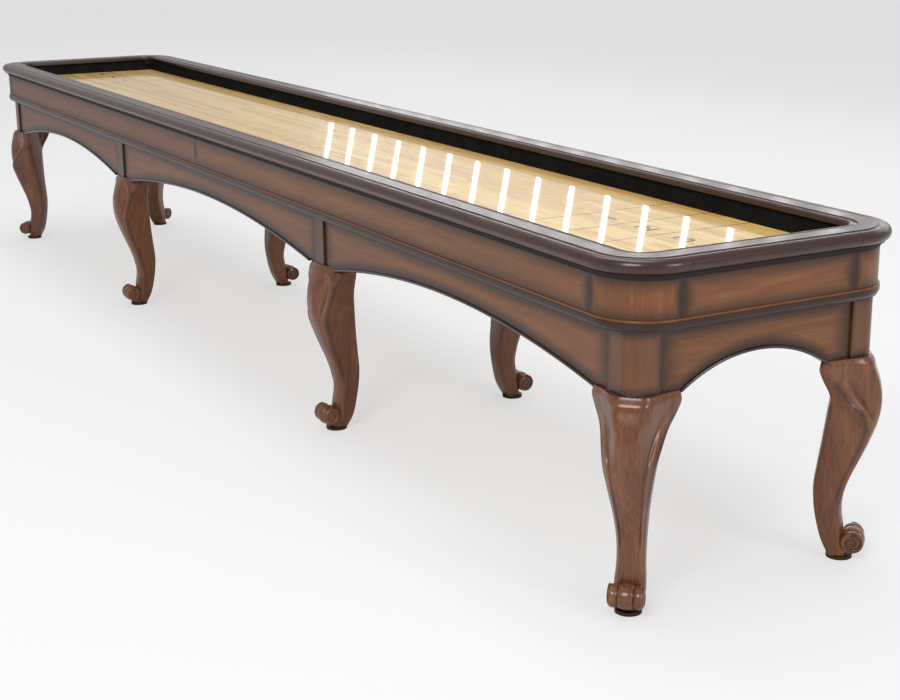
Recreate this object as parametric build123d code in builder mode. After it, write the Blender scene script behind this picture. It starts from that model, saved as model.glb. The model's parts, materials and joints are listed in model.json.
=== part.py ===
"""Long shuffleboard table on eight cabriole legs. Millimetres, +Z up, origin at the middle of the floor area."""
import os
from math import sqrt

from build123d import *

os.makedirs("parts", exist_ok=True)

# ---- driving dimensions -------------------------------------------------------------
corner_leg_x = 2400.0      # half the distance between the end legs
side_leg_x = 900.0         # half the distance between the middle legs
leg_y = 310.0              # half the distance between the two rows of legs
table_height = 815.0       # floor to the top of the rail
knee_height = 510.0        # floor to the top of a leg
box_bottom = 655.0         # floor to the underside of the box
post_size = 80.0
post_round = 38.0
side_post_width = 56.0
apron_thickness = 26.0
apron_setback = 6.0        # apron face behind the post face
arch_rise = 67.0
knee_block_length = 58.0
knee_block_drop = 78.0
bead_size = 9.0
bead_proud = 3.0            # bead past the apron face
bead_depth = 20.0
box_overhang = 30.0        # box face past the post face
box_wall = 52.0
box_round = 120.0           # radius of the rounded box corners
box_corner = 140.0         # each way that a corner block reaches
moulding_height = 26.0
moulding_proud = 5.0
rail_overhang = 24.0       # rail past the box face
rail_width = 96.0
rail_thickness = 34.0
rail_lip = 16.0            # thickness of the rail where it stands past the box wall
rail_corner = 170.0        # leg of each corner piece of the rail
lining_thickness = 6.0
board_width = 508.0
board_thickness = 58.0
board_end_gap = 170.0      # board end to lining
board_below_rail = 46.0    # rail top to playing surface
coat_thickness = 3.0
floor_thickness = 18.0
carpet_thickness = 4.0
bearer_count = 6
bearer_width = 60.0
pad_diameter = 62.0
pad_height = 9.0
stem_diameter = 10.0
stem_length = 30.0
level_travel = 12.0        # how far a leveller screws out
socket_diameter = 18.0
socket_length = 46.0
running_fit = 0.06
skin_gap = 0.3
rod_diameter = 10.0
barrel_flats = 20.0        # across the flats of the turning barrel
barrel_length = 60.0
rod_grip = 20.0            # rod inside each end of the barrel
bracket_thickness = 5.0
bracket_width = 44.0
bracket_foot = 46.0
bracket_y = 190.0
adjuster_drop = 15.0       # board underside to the rod axis
adjuster_count = 3
screw_diameter = 5.0
screw_length = 18.0
bolt_diameter = 10.0
bolt_in_leg = 45.0
bolt_in_post = 70.0
cleat_length = 240.0
cleat_width = 30.0
cleat_height = 24.0

# ---- worked-out places --------------------------------------------------------------
post_face_x = corner_leg_x + post_size / 2
post_face_y = leg_y + post_size / 2
box_x = post_face_x + box_overhang
box_y = post_face_y + box_overhang
rail_x = box_x + rail_overhang
rail_y = box_y + rail_overhang
rail_under = table_height - rail_thickness
inner_x = box_x - box_wall
inner_y = box_y - box_wall
lining_x = inner_x - lining_thickness
lining_y = inner_y - lining_thickness
apron_face_x = post_face_x - apron_setback
apron_face_y = post_face_y - apron_setback
play_top = table_height - board_below_rail
board_top = play_top - coat_thickness
board_bottom = board_top - board_thickness
board_x = lining_x - board_end_gap
floor_top = box_bottom + floor_thickness
carpet_top = floor_top + carpet_thickness
side_signs = ((1, -1), (1, 1), (-1, -1), (-1, 1))


def save(part, name):
    """Label a finished piece and write it to its own file."""
    part.label = name
    export_step(part, f"parts/{name}.step")


def box_between(low, high):
    """A block between two opposite corners, for use inside a BuildPart."""
    size = [b - a for a, b in zip(low, high)]
    middle = [(a + b) / 2 for a, b in zip(low, high)]
    with Locations(tuple(middle)):
        Box(*size)


# ---- playfield ------------------------------------------------------------------------
with BuildPart() as playfield_finish:
    box_between((-board_x, -board_width / 2, board_top), (board_x, board_width / 2, play_top))
    chamfer(playfield_finish.faces().sort_by(Axis.Z)[-1].edges(), coat_thickness / 3)
save(playfield_finish.part, "playfield_finish")

# ---- floor of the box, its carpet and the bearers under the board ----------------------
with BuildPart() as box_floor:
    box_between((-inner_x, -inner_y, box_bottom), (inner_x, inner_y, floor_top))
save(box_floor.part, "box_floor")

with BuildPart() as floor_carpet:
    box_between((-lining_x, -lining_y, floor_top), (lining_x, lining_y, carpet_top))
save(floor_carpet.part, "floor_carpet")

bearer_pitch = 2 * (board_x - 2 * bearer_width) / (bearer_count - 1)
with BuildPart() as cradle_bearers:
    with Locations((0, 0, (carpet_top + board_bottom) / 2)):
        with GridLocations(bearer_pitch, 0, bearer_count, 1):
            Box(bearer_width, board_width, board_bottom - carpet_top)
save(cradle_bearers.part, "cradle_bearers")

# ---- climatic adjusters: two rods in a turning barrel, held by brackets under the board ---
rod_z = board_bottom - adjuster_drop
rod_end = bracket_y + bracket_thickness + rod_diameter
with BuildPart() as adjuster_rods:
    for y_sign in (-1, 1):
        length = rod_end - barrel_length / 2 + rod_grip
        middle = y_sign * (rod_end - length / 2)
        with Locations((0, middle, rod_z)):
            with GridLocations(bearer_pitch, 0, adjuster_count, 1):
                Cylinder(rod_diameter / 2, length, rotation=(90, 0, 0))
save(adjuster_rods.part, "adjuster_rods")

bracket_drop = adjuster_drop + rod_diameter / 2 + bracket_thickness / 2
with BuildPart() as adjuster_brackets:
    for y_sign in (-1, 1):
        with Locations((0, y_sign * bracket_y, board_bottom - bracket_drop / 2)):
            with GridLocations(bearer_pitch, 0, adjuster_count, 1):
                Box(bracket_width, bracket_thickness, bracket_drop)
        with Locations((0, y_sign * (bracket_y - bracket_foot / 2), board_bottom - bracket_thickness / 2)):
            with GridLocations(bearer_pitch, 0, adjuster_count, 1):
                Box(bracket_width, bracket_foot, bracket_thickness)
    add(adjuster_rods.part, mode=Mode.SUBTRACT)
    with Locations((0, 0, board_bottom - bracket_thickness)):
        for y_sign in (-1, 1):
            with Locations((0, y_sign * (bracket_y - bracket_foot / 2), 0)):
                with GridLocations(bearer_pitch, 0, adjuster_count, 1):
                    with GridLocations(bracket_width / 2, 0, 2, 1):
                        Cylinder(screw_diameter / 2, bracket_thickness, mode=Mode.SUBTRACT,
                                 align=(Align.CENTER, Align.CENTER, Align.MIN))
save(adjuster_brackets.part, "adjuster_brackets")

with BuildPart() as adjuster_screws:
    for y_sign in (-1, 1):
        with Locations((0, y_sign * (bracket_y - bracket_foot / 2), board_bottom - bracket_thickness)):
            with GridLocations(bearer_pitch, 0, adjuster_count, 1):
                with GridLocations(bracket_width / 2, 0, 2, 1):
                    Cylinder(screw_diameter / 2, screw_length, align=(Align.CENTER, Align.CENTER, Align.MIN))
                    Cylinder(screw_diameter, screw_diameter / 2, align=(Align.CENTER, Align.CENTER, Align.MAX))
save(adjuster_screws.part, "adjuster_screws")

for number in range(adjuster_count):
    barrel_x = (number - (adjuster_count - 1) / 2) * bearer_pitch
    with BuildPart() as barrel:
        with BuildSketch(Plane.XZ.offset(-barrel_length / 2)):
            with Locations((barrel_x, rod_z)):
                RegularPolygon(barrel_flats / 2, 6, major_radius=False)
                Circle(rod_diameter / 2 + running_fit, mode=Mode.SUBTRACT)
        extrude(amount=barrel_length)
    save(barrel.part, f"adjuster_barrel_{number + 1}")

with BuildPart() as playfield_board:
    box_between((-board_x, -board_width / 2, board_bottom), (board_x, board_width / 2, board_top))
    add(adjuster_screws.part, mode=Mode.SUBTRACT)
save(playfield_board.part, "playfield_board")

# ---- cleats that join the two lengths of the box under its floor -------------------------
cleat_y = post_face_y - apron_setback - apron_thickness - cleat_width / 2
with BuildPart() as seam_cleats:
    with Locations((0, 0, box_bottom - cleat_height / 2)):
        with GridLocations(0, 2 * cleat_y, 1, 2):
            Box(cleat_length, cleat_width, cleat_height)
save(seam_cleats.part, "seam_cleats")

# ---- box sides, ends and rounded corners -----------------------------------------------
for side, y_sign in (("front", -1), ("back", 1)):
    for half, x_sign in (("near", 1), ("far", -1)):
        y_pair = sorted((y_sign * inner_y, y_sign * box_y))
        x_pair = sorted((0, x_sign * (box_x - box_corner)))
        with BuildPart() as box_side:
            box_between((x_pair[0], y_pair[0], box_bottom), (x_pair[1], y_pair[1], rail_under))
        save(box_side.part, f"box_side_{side}_{half}")

for end, x_sign in (("near", 1), ("far", -1)):
    x_pair = sorted((x_sign * inner_x, x_sign * box_x))
    half_width = box_y - box_corner
    with BuildPart() as box_end:
        box_between((x_pair[0], -half_width, box_bottom), (x_pair[1], half_width, rail_under))
    save(box_end.part, f"box_end_{end}")


with BuildPart() as corner_block:
    with BuildSketch(Plane.XY.offset(box_bottom)):
        with BuildLine():
            Polyline((box_x - box_round, box_y), (box_x - box_corner, box_y), (box_x - box_corner, inner_y),
                     (inner_x, inner_y), (inner_x, box_y - box_corner), (box_x, box_y - box_corner),
                     (box_x, box_y - box_round))
            middle = box_round * (1 - sqrt(0.5))
            ThreePointArc((box_x, box_y - box_round), (box_x - middle, box_y - middle), (box_x - box_round, box_y))
        make_face()
    extrude(amount=rail_under - box_bottom)
with BuildPart() as box_corners:
    add(corner_block.part)
    mirror(about=Plane.YZ)
    mirror(about=Plane.XZ)
save(box_corners.part, "box_corners")

# ---- moulding round the foot of the box ------------------------------------------------
moulding_top = box_bottom + moulding_height
with BuildPart() as base_mouldings:
    for y_sign in (-1, 1):
        y_pair = sorted((y_sign * box_y, y_sign * (box_y + moulding_proud)))
        low = (-(box_x - box_round), y_pair[0], box_bottom)
        box_between(low, (box_x - box_round, y_pair[1], moulding_top))
    for x_sign in (-1, 1):
        x_pair = sorted((x_sign * box_x, x_sign * (box_x + moulding_proud)))
        low = (x_pair[0], -(box_y - box_round), box_bottom)
        box_between(low, (x_pair[1], box_y - box_round, moulding_top))
save(base_mouldings.part, "base_mouldings")

# ---- top rail ---------------------------------------------------------------------------
nose = rail_thickness / 2
rail_inner_x = rail_x - rail_width
rail_inner_y = rail_y - rail_width
rail_end_x = rail_x - rail_corner
rail_end_y = rail_y - rail_corner
inner_bead = rail_lip / 2
lip_under = table_height - rail_lip


def rail_section(plane, at, outward):
    """Closed section of the rail; `at` is the outer face and `outward` its direction."""
    back = at - outward * rail_width
    step = at - outward * (rail_overhang + box_wall)
    soft = inner_bead * (1 - sqrt(0.5))
    with BuildSketch(plane) as section:
        with BuildLine():
            Polyline((at - outward * nose, rail_under), (step, rail_under), (step, lip_under),
                     (back, lip_under), (back, table_height - inner_bead))
            ThreePointArc((back, table_height - inner_bead), (back + outward * soft, table_height - soft),
                          (back + outward * inner_bead, table_height))
            Line((back + outward * inner_bead, table_height), (at - outward * nose, table_height))
            ThreePointArc((at - outward * nose, table_height), (at, rail_under + nose),
                          (at - outward * nose, rail_under))
        make_face()
    return section.sketch


for side, y_sign in (("front", -1), ("back", 1)):
    with BuildPart() as rail_long:
        extrude(rail_section(Plane.YZ.offset(-rail_end_x), y_sign * rail_y, y_sign), amount=2 * rail_end_x)
    save(rail_long.part, f"rail_{side}")

for end, x_sign in (("near", 1), ("far", -1)):
    with BuildPart() as rail_end:
        extrude(rail_section(Plane.XZ.offset(-rail_end_y), x_sign * rail_x, x_sign), amount=2 * rail_end_y)
    save(rail_end.part, f"rail_{end}")

corner_radius = box_round + rail_overhang
inner_round = corner_radius - rail_width
with BuildPart() as rail_corner_piece:
    with BuildSketch(Plane.XY.offset(rail_under)):
        with BuildLine():
            soft = corner_radius * (1 - sqrt(0.5))
            inner_soft = inner_round * (1 - sqrt(0.5))
            Polyline((rail_x - corner_radius, rail_y), (rail_end_x, rail_y), (rail_end_x, rail_inner_y),
                     (rail_inner_x - inner_round, rail_inner_y))
            ThreePointArc((rail_inner_x - inner_round, rail_inner_y),
                          (rail_inner_x - inner_soft, rail_inner_y - inner_soft),
                          (rail_inner_x, rail_inner_y - inner_round))
            Polyline((rail_inner_x, rail_inner_y - inner_round), (rail_inner_x, rail_end_y), (rail_x, rail_end_y),
                     (rail_x, rail_y - corner_radius))
            ThreePointArc((rail_x, rail_y - corner_radius), (rail_x - soft, rail_y - soft),
                          (rail_x - corner_radius, rail_y))
        make_face()
    extrude(amount=rail_thickness)
    outer_edges = [e for e in rail_corner_piece.edges()
                   if abs(e.tangent_at(0.5).Z) < 0.5
                   and (e.geom_type == GeomType.CIRCLE and e.radius > inner_round + 1 or e.center().X > rail_x - 1 or e.center().Y > rail_y - 1)]
    fillet(outer_edges, nose * 0.92)
    with Locations((rail_end_x - 1, rail_end_y - 1, rail_under)):
        Box(inner_x - rail_end_x + 1, inner_y - rail_end_y + 1, rail_thickness - rail_lip,
            align=(Align.MIN, Align.MIN, Align.MIN), mode=Mode.SUBTRACT)
with BuildPart() as rail_corners:
    add(rail_corner_piece.part)
    mirror(about=Plane.YZ)
    mirror(about=Plane.XZ)
save(rail_corners.part, "rail_corners")

# ---- carpet lining on the walls -----------------------------------------------------------
with BuildPart() as wall_lining:
    for y_sign in (-1, 1):
        y_pair = sorted((y_sign * lining_y, y_sign * inner_y))
        box_between((-lining_x, y_pair[0], floor_top), (lining_x, y_pair[1], lip_under))
    for x_sign in (-1, 1):
        x_pair = sorted((x_sign * lining_x, x_sign * inner_x))
        box_between((x_pair[0], -inner_y, floor_top), (x_pair[1], inner_y, lip_under))
save(wall_lining.part, "wall_lining")

# ---- posts ----------------------------------------------------------------------------------
for number, (x_sign, y_sign) in enumerate(side_signs, 1):
    with BuildPart() as corner_post:
        with BuildSketch(Plane.XY.offset(knee_height)) as footprint:
            with Locations((x_sign * corner_leg_x, y_sign * leg_y)):
                Rectangle(post_size, post_size)
            outer = (x_sign * post_face_x, y_sign * post_face_y)
            fillet(footprint.vertices().sort_by_distance(outer)[0], post_round)
        extrude(amount=box_bottom - knee_height)
        with Locations((x_sign * corner_leg_x, y_sign * leg_y, knee_height)):
            Cylinder(bolt_diameter / 2, bolt_in_post, align=(Align.CENTER, Align.CENTER, Align.MIN),
                     mode=Mode.SUBTRACT)
    save(corner_post.part, f"corner_post_{number}")

with BuildPart() as side_posts:
    with Locations((0, 0, (knee_height + box_bottom) / 2)):
        with GridLocations(2 * side_leg_x, 2 * leg_y, 2, 2):
            Box(side_post_width, post_size, box_bottom - knee_height)
    with Locations((0, 0, knee_height)):
        with GridLocations(2 * side_leg_x, 2 * leg_y, 2, 2):
            Cylinder(bolt_diameter / 2, bolt_in_post, align=(Align.CENTER, Align.CENTER, Align.MIN),
                     mode=Mode.SUBTRACT)
save(side_posts.part, "side_posts")

# ---- aprons with arched lower edges, and their cock beads -------------------------------------


def apron_outline(plane, start, end):
    """Outline of an apron from `start` to `end`, with the arch between its two knee blocks."""
    a = start + knee_block_length
    b = end - knee_block_length
    with BuildSketch(plane) as outline:
        with BuildLine():
            Polyline((a, knee_height), (start, knee_height), (start, box_bottom), (end, box_bottom),
                     (end, knee_height), (b, knee_height))
            ThreePointArc((b, knee_height), ((a + b) / 2, knee_height + arch_rise), (a, knee_height))
        make_face()
    return outline.sketch


def bead_outline(plane, start, end):
    """Strip of even height that follows the arch of an apron."""
    a = start + knee_block_length
    b = end - knee_block_length
    middle = (a + b) / 2
    low = knee_height - bead_size
    with BuildSketch(plane) as outline:
        with BuildLine():
            ThreePointArc((a, knee_height), (middle, knee_height + arch_rise), (b, knee_height))
            Line((b, knee_height), (b, low))
            ThreePointArc((b, low), (middle, low + arch_rise), (a, low))
            Line((a, low), (a, knee_height))
        make_face()
    return outline.sketch


side_half = side_post_width / 2
post_half = post_size / 2
bays = ((side_leg_x + side_half, corner_leg_x - post_half), (-side_leg_x + side_half, side_leg_x - side_half),
        (-corner_leg_x + post_half, -side_leg_x - side_half))
for side, y_sign in (("front", -1), ("back", 1)):
    for number, (start, end) in enumerate(bays, 1):
        with BuildPart() as apron:
            plane = Plane.XZ.offset(-y_sign * apron_face_y)
            extrude(apron_outline(plane, start, end), amount=y_sign * apron_thickness)
        save(apron.part, f"apron_{side}_{number}")
for end, x_sign in (("near", 1), ("far", -1)):
    with BuildPart() as apron:
        plane = Plane.YZ.offset(x_sign * apron_face_x)
        extrude(apron_outline(plane, -leg_y + post_half, leg_y - post_half), amount=-x_sign * apron_thickness)
    save(apron.part, f"apron_{end}")

with BuildPart() as cock_beads:
    for y_sign in (-1, 1):
        for start, end in bays:
            plane = Plane.XZ.offset(-y_sign * (apron_face_y + bead_proud))
            extrude(bead_outline(plane, start, end), amount=y_sign * bead_depth)
    for x_sign in (-1, 1):
        plane = Plane.YZ.offset(x_sign * (apron_face_x + bead_proud))
        extrude(bead_outline(plane, -leg_y + post_half, leg_y - post_half), amount=-x_sign * bead_depth)
save(cock_beads.part, "cock_beads")

# ---- cabriole leg -----------------------------------------------------------------------------
# The blank is cut from two faces: `outward` is the local +X of the leg, width is along local Y.
pad_top = pad_height
scroll_x = 30.0
scroll_z = 48.0
scroll_radius = 30.0
with BuildPart() as leg_shape:
    with BuildSketch(Plane.XZ):
        with BuildLine():
            Spline((38, knee_height), (76, 418), (72, 345), (36, 255), (4, 160), (2, 105), (16, scroll_z + 28))
            ThreePointArc((16, scroll_z + 28), (scroll_x + scroll_radius, scroll_z), (22, scroll_z - 31))
            Line((22, scroll_z - 31), (22, pad_top))
            Line((22, pad_top), (-26, pad_top))
            Spline((-26, pad_top), (-58, 90), (-70, 170), (-60, 260), (-50, 340), (-40, 420), (-38, knee_height))
            Line((-38, knee_height), (38, knee_height))
        make_face()
    extrude(amount=60, both=True)
    with BuildSketch(Plane.YZ):
        with BuildLine():
            Spline((44, knee_height), (52, 440), (50, 341), (40, 249), (32, 157), (34, 90), (38, 40), (30, pad_top))
            Line((30, pad_top), (-30, pad_top))
            Spline((-30, pad_top), (-38, 40), (-34, 90), (-32, 157), (-40, 249), (-50, 341), (-52, 440),
                   (-44, knee_height))
            Line((-44, knee_height), (44, knee_height))
        make_face()
    extrude(amount=150, both=True, mode=Mode.INTERSECT)
    with Locations((0, 0, pad_top)):
        Cylinder(socket_diameter / 2, socket_length, align=(Align.CENTER, Align.CENTER, Align.MIN),
                 mode=Mode.SUBTRACT)
    with Locations((0, 0, knee_height - bolt_in_leg)):
        Cylinder(bolt_diameter / 2, bolt_in_leg, align=(Align.CENTER, Align.CENTER, Align.MIN),
                 mode=Mode.SUBTRACT)

leg_places = [(1, corner_leg_x, -leg_y, -45), (2, side_leg_x, -leg_y, -90), (3, -side_leg_x, -leg_y, -90),
              (4, -corner_leg_x, -leg_y, -135), (5, corner_leg_x, leg_y, 45), (6, side_leg_x, leg_y, 90),
              (7, -side_leg_x, leg_y, 90), (8, -corner_leg_x, leg_y, 135)]
for number, x, y, turn in leg_places:
    with BuildPart() as leg:
        with Locations(Location((x, y, 0), (0, 0, turn))):
            add(leg_shape.part)
    save(leg.part, f"leg_{number}")

with BuildPart() as leg_bolts:
    for number, x, y, turn in leg_places:
        with Locations((x, y, knee_height - bolt_in_leg)):
            Cylinder(bolt_diameter / 2, bolt_in_leg + bolt_in_post, align=(Align.CENTER, Align.CENTER, Align.MIN))
save(leg_bolts.part, "leg_bolts")

# ---- levellers and their sockets ---------------------------------------------------------------
with BuildPart() as leveller_sockets:
    for number, x, y, turn in leg_places:
        with Locations((x, y, pad_top)):
            Cylinder(socket_diameter / 2, socket_length, align=(Align.CENTER, Align.CENTER, Align.MIN))
            Cylinder(stem_diameter / 2 + running_fit, socket_length, align=(Align.CENTER, Align.CENTER, Align.MIN),
                     mode=Mode.SUBTRACT)
save(leveller_sockets.part, "leveller_sockets")
for number, x, y, turn in leg_places:
    with BuildPart() as leveller:
        with Locations((x, y, 0)):
            Cylinder(pad_diameter / 2, pad_height - skin_gap, align=(Align.CENTER, Align.CENTER, Align.MIN))
            Cylinder(stem_diameter / 2, pad_height + stem_length, align=(Align.CENTER, Align.CENTER, Align.MIN))
    save(leveller.part, f"leveller_{number}")

# ---- knee blocks under the apron ends -----------------------------------------------------------


def knee_outline(plane, start, direction):
    """Bracket shape hanging under an apron, beside a leg; it narrows away from the leg."""
    tip = start + direction * knee_block_length
    low = (start, knee_height - knee_block_drop)
    high = (tip, knee_height - bead_size - 4)
    middle = (start + direction * knee_block_length * 0.35, knee_height - knee_block_drop * 0.42)
    with BuildSketch(plane) as outline:
        with BuildLine():
            Polyline(low, (start, knee_height), (tip, knee_height), high)
            ThreePointArc(high, middle, low)
        make_face()
    return outline.sketch


with BuildPart() as knee_blocks:
    for y_sign in (-1, 1):
        for x, sides in ((corner_leg_x, (-1,)), (side_leg_x, (-1, 1)), (-side_leg_x, (-1, 1)), (-corner_leg_x, (1,))):
            for direction in sides:
                half = post_half if abs(x) == corner_leg_x else side_half
                plane = Plane.XZ.offset(-y_sign * apron_face_y)
                extrude(knee_outline(plane, x + direction * half, direction), amount=y_sign * apron_thickness)
    for x_sign in (-1, 1):
        for y_sign in (-1, 1):
            plane = Plane.YZ.offset(x_sign * apron_face_x)
            start = y_sign * (leg_y - post_half)
            extrude(knee_outline(plane, start, -y_sign), amount=-x_sign * apron_thickness)
    for number, x, y, turn in leg_places:
        with Locations(Location((x, y, 0), (0, 0, turn))):
            add(leg_shape.part, mode=Mode.SUBTRACT)
save(knee_blocks.part, "knee_blocks")
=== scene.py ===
"""Looks of a long shuffleboard table on eight cabriole legs, built round its packed frame."""
import json
import math

import bmesh
import bpy
import numpy as np
from mathutils import Matrix, Vector


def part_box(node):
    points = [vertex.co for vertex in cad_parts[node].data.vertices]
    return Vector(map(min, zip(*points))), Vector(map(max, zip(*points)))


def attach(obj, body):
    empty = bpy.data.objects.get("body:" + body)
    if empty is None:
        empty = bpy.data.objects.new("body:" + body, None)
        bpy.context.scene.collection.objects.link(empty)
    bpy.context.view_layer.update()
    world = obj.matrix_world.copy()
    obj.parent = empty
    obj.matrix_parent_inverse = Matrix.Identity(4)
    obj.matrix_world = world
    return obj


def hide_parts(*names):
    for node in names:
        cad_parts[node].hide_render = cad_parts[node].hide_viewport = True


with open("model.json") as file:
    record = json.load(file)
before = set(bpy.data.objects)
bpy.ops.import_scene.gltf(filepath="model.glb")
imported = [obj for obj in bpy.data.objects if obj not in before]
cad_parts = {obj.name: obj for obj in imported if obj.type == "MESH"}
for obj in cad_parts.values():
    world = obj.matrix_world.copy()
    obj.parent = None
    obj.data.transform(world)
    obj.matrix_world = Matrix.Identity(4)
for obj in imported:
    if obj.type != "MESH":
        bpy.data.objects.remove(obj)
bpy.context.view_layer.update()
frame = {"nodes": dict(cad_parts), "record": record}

bl_info = {
    "name": "Shuffleboard Table",
    "version": (1, 0, 0),
    "blender": (4, 5, 0),
    "location": "View3D > Sidebar > Table",
    "description": "Makes the visible pieces and finishes of a long shuffleboard table",
    "category": "Add Mesh",
}

# ---- places read from the frame ---------------------------------------------------------
TABLE = "table"
RAIL_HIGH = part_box("rail_corners")[1]
BOX_LOW, BOX_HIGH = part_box("box_corners")
SIDE_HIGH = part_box("box_side_front_near")[1]
END_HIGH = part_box("box_end_near")[1]
COAT_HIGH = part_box("playfield_finish")[1]
POST_LOW, POST_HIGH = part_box("corner_post_2")
SIDE_POST_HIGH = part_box("side_posts")[1]
MOULD_LOW, MOULD_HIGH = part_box("base_mouldings")
RAIL_LONG_LOW, RAIL_LONG_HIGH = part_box("rail_back")
PAD_HEIGHT = 0.009
PAD_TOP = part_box("leveller_1")[0][2] + PAD_HEIGHT
KNEE_Z = POST_LOW[2]
BOX_Z = BOX_LOW[2]
TOP_Z = RAIL_HIGH[2]
PLAY_Z = COAT_HIGH[2]
POST_HALF = (POST_HIGH[0] - POST_LOW[0]) / 2
LEG_X = POST_HIGH[0] - POST_HALF
LEG_Y = POST_HIGH[1] - POST_HALF
SIDE_POST_HALF = 0.028
SIDE_LEG_X = SIDE_POST_HIGH[0] - SIDE_POST_HALF
APRON_FACE_Y = -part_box("apron_front_1")[0][1]
APRON_FACE_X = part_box("apron_near")[1][0]

# ---- sizes in metres that a piece's box doesn't give --------------------------------------
ARCH_RISE = 0.067
KNEE_REACH = 0.058
SCORE_STEP = 0.1524
BOX_ROUND = 0.12
RAIL_LIP = 0.016
RAIL_SEAT = 0.076
BEAD_PROUD = 0.003
BEAD_DEPTH = 0.020
WING_PROUD = 0.008
WING_THICK = 0.030
COVE_REACH = 0.013
MARK_LIFT = 0.0001
LEGS = ((1, LEG_X, -LEG_Y, -45), (2, SIDE_LEG_X, -LEG_Y, -90), (3, -SIDE_LEG_X, -LEG_Y, -90),
        (4, -LEG_X, -LEG_Y, -135), (5, LEG_X, LEG_Y, 45), (6, SIDE_LEG_X, LEG_Y, 90),
        (7, -SIDE_LEG_X, LEG_Y, 90), (8, -LEG_X, LEG_Y, 135))
BAYS = ((SIDE_LEG_X + SIDE_POST_HALF, LEG_X - POST_HALF),
        (-SIDE_LEG_X + SIDE_POST_HALF, SIDE_LEG_X - SIDE_POST_HALF),
        (-LEG_X + POST_HALF, -SIDE_LEG_X - SIDE_POST_HALF))


# ---- shader expressions -------------------------------------------------------------------
class Signal:
    """A number that varies over a surface; sums and products add Math nodes."""

    def __init__(self, shade, socket):
        self.shade = shade
        self.socket = socket

    def maths(self, operation, *values):
        return self.shade.node("ShaderNodeMath", {"operation": operation}, dict(enumerate(values)))

    def __add__(self, other):
        return self.maths("ADD", self, other)

    def __radd__(self, other):
        return self.maths("ADD", other, self)

    def __sub__(self, other):
        return self.maths("SUBTRACT", self, other)

    def __rsub__(self, other):
        return self.maths("SUBTRACT", other, self)

    def __mul__(self, other):
        return self.maths("MULTIPLY", self, other)

    def __rmul__(self, other):
        return self.maths("MULTIPLY", other, self)

    def __truediv__(self, other):
        return self.maths("DIVIDE", self, other)

    def __abs__(self):
        return self.maths("ABSOLUTE", self)

    def most(self, other):
        return self.maths("MAXIMUM", self, other)

    def step(self, low, high):
        """0 below `low`, 1 above `high`, smooth between."""
        sockets = {"Value": self, "From Min": low, "From Max": high, "To Min": 0.0, "To Max": 1.0}
        return self.shade.node("ShaderNodeMapRange", {"interpolation_type": "SMOOTHSTEP", "clamp": True}, sockets)


class Shade:
    """One node material with a Principled surface."""

    def __init__(self, name, **surface):
        self.material = bpy.data.materials.new(name)
        self.material.use_nodes = True
        self.tree = self.material.node_tree
        self.surface = self.tree.nodes["Principled BSDF"]
        for socket, value in surface.items():
            self.surface.inputs[socket.replace("_", " ")].default_value = value

    def node(self, kind, settings=None, sockets=None, output=0):
        made = self.tree.nodes.new(kind)
        for key, value in (settings or {}).items():
            setattr(made, key, value)
        for key, value in (sockets or {}).items():
            if isinstance(value, Signal):
                self.tree.links.new(value.socket, made.inputs[key])
            else:
                made.inputs[key].default_value = value
        return Signal(self, made.outputs[output])

    def place(self):
        """Object coordinates split into three numbers."""
        coords = self.node("ShaderNodeTexCoord", output="Object")
        split = self.tree.nodes.new("ShaderNodeSeparateXYZ")
        self.tree.links.new(coords.socket, split.inputs[0])
        return coords, [Signal(self, split.outputs[i]) for i in range(3)]

    def stretched(self, coords, scale, turn=(0, 0, 0)):
        return self.node("ShaderNodeMapping", {}, {"Vector": coords, "Scale": scale, "Rotation": turn})

    def noise(self, vector, scale=1.0, detail=4.0, distortion=0.0):
        sockets = {"Vector": vector, "Scale": scale, "Detail": detail, "Distortion": distortion}
        return self.node("ShaderNodeTexNoise", {}, sockets, "Fac")

    def ramp(self, factor, stops):
        made = self.tree.nodes.new("ShaderNodeValToRGB")
        while len(made.color_ramp.elements) < len(stops):
            made.color_ramp.elements.new(0.5)
        for element, (position, color) in zip(made.color_ramp.elements, stops):
            element.position = position
            element.color = (*color, 1)
        self.tree.links.new(factor.socket, made.inputs[0])
        return Signal(self, made.outputs[0])

    def blend(self, factor, first, second, mode="MIX"):
        made = self.tree.nodes.new("ShaderNodeMix")
        made.data_type = "RGBA"
        made.blend_type = mode
        for index, value in ((0, factor), (6, first), (7, second)):
            if isinstance(value, Signal):
                self.tree.links.new(value.socket, made.inputs[index])
            else:
                made.inputs[index].default_value = value if index == 0 else (*value, 1)
        return Signal(self, made.outputs[2])

    def wear(self, color=None, roughness=None, height=None, strength=0.3, distance=0.001):
        if color:
            self.tree.links.new(color.socket, self.surface.inputs["Base Color"])
        if roughness:
            self.tree.links.new(roughness.socket, self.surface.inputs["Roughness"])
        if height:
            bump = self.node("ShaderNodeBump", {}, {"Height": height, "Strength": strength, "Distance": distance})
            self.tree.links.new(bump.socket, self.surface.inputs["Normal"])
        return self.material


GRAIN = {"x": (2.2, 55, 55), "y": (55, 2.2, 55), "z": (55, 55, 2.2)}
STREAK = {"x": (0.9, 9, 9), "y": (9, 0.9, 9), "z": (9, 9, 0.9)}


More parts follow.
